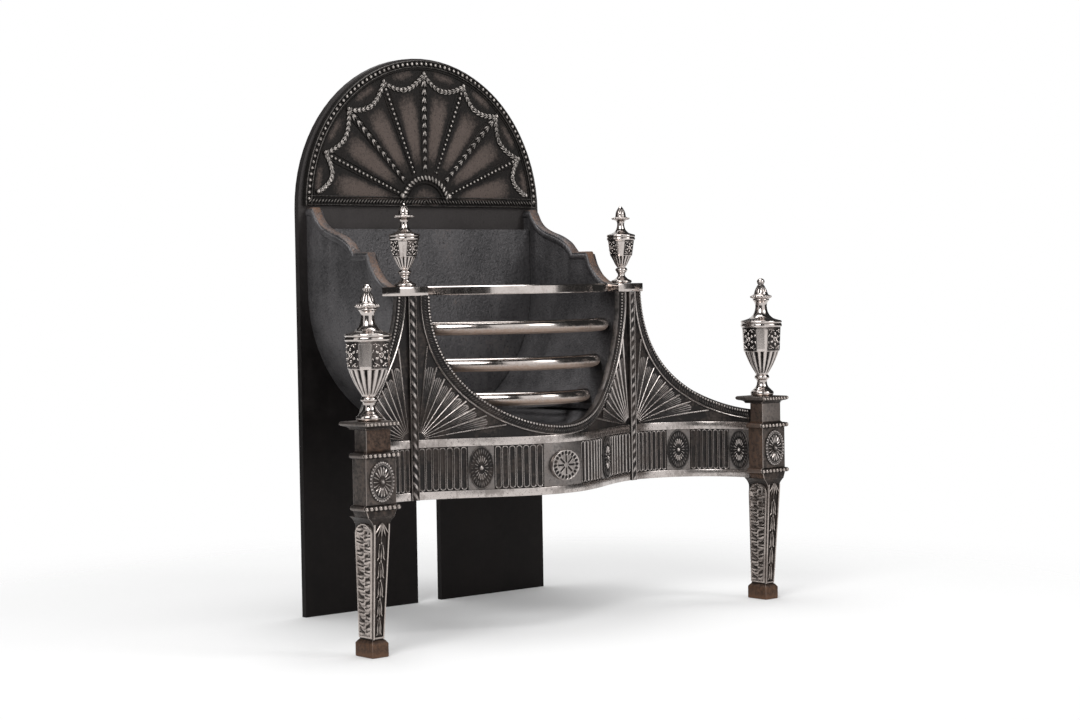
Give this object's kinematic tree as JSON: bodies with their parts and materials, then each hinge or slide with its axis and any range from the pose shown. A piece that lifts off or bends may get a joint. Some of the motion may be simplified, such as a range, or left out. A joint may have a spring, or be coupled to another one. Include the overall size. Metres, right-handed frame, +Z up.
{
  "type": "log grate",
  "caption": "Neoclassical fire grate with an arched iron back plate, a serpentine fluted front, round bars, urns on legs and a loose bottom grid.",
  "frame": {"origin": "on the floor, under the middle of the grate's whole width and depth", "axes": "+Z up, +Y towards the back plate and the chimney, so that the pierced front faces -Y, +X to the right of someone facing the fire"},
  "size_m": [0.9114, 0.453, 0.94],
  "materials": {
    "plate_iron": "dark satin iron with brown rubbed edges",
    "fan_iron": "dark cast iron relief, rubbed bright on its beads and husks",
    "fired_iron": "matt granular iron greyed by fire, rust on the edges",
    "front_steel": "pewter coloured worn steel, dark in its recesses",
    "bright_steel": "polished steel",
    "leg_patina": "brown patinated steel, rusty at the feet"
  },
  "bodies": {
    "hearth_frame": {"back_plate": "plate_iron", "fan_panel": "fan_iron", "firebox_liner": "fired_iron", "front_panel_center": "front_steel", "center_medallion": "front_steel", "top_bar": "bright_steel", "round_bar_upper": "bright_steel", "round_bar_middle": "bright_steel", "round_bar_lower": "bright_steel", "plate_bolt_1": "plate_iron", "plate_bolt_2": "plate_iron", "plate_bolt_3": "plate_iron", "plate_bolt_4": "plate_iron", "cheek_left": "fired_iron", "front_wing_left": "front_steel", "rope_strip_left": "front_steel", "top_block_left": "bright_steel", "inner_patera_left": "front_steel", "outer_patera_left": "front_steel", "end_patera_left": "front_steel", "leg_shaft_left": "leg_patina", "leg_die_left": "leg_patina", "leg_cap_left": "leg_patina", "leg_patera_left": "front_steel", "upper_urn_foot_left": "bright_steel", "upper_urn_body_left": "bright_steel", "upper_urn_lid_left": "bright_steel", "upper_urn_stud_left": "bright_steel", "lower_urn_foot_left": "bright_steel", "lower_urn_body_left": "bright_steel", "lower_urn_lid_left": "bright_steel", "lower_urn_stud_left": "bright_steel", "cheek_right": "fired_iron", "front_wing_right": "front_steel", "rope_strip_right": "front_steel", "top_block_right": "bright_steel", "inner_patera_right": "front_steel", "outer_patera_right": "front_steel", "end_patera_right": "front_steel", "leg_shaft_right": "leg_patina", "leg_die_right": "leg_patina", "leg_cap_right": "leg_patina", "leg_patera_right": "front_steel", "upper_urn_foot_right": "bright_steel", "upper_urn_body_right": "bright_steel", "upper_urn_lid_right": "bright_steel", "upper_urn_stud_right": "bright_steel", "lower_urn_foot_right": "bright_steel", "lower_urn_body_right": "bright_steel", "lower_urn_lid_right": "bright_steel", "lower_urn_stud_right": "bright_steel"},
    "loose_grid": {"bottom_grate": "fired_iron"}
  },
  "joints": [
    {"name": "grate_lift", "type": "slide", "parent": "hearth_frame", "child": "loose_grid", "axis": [0, 0, 1], "range_m": [0, 0.25]}
  ]
}
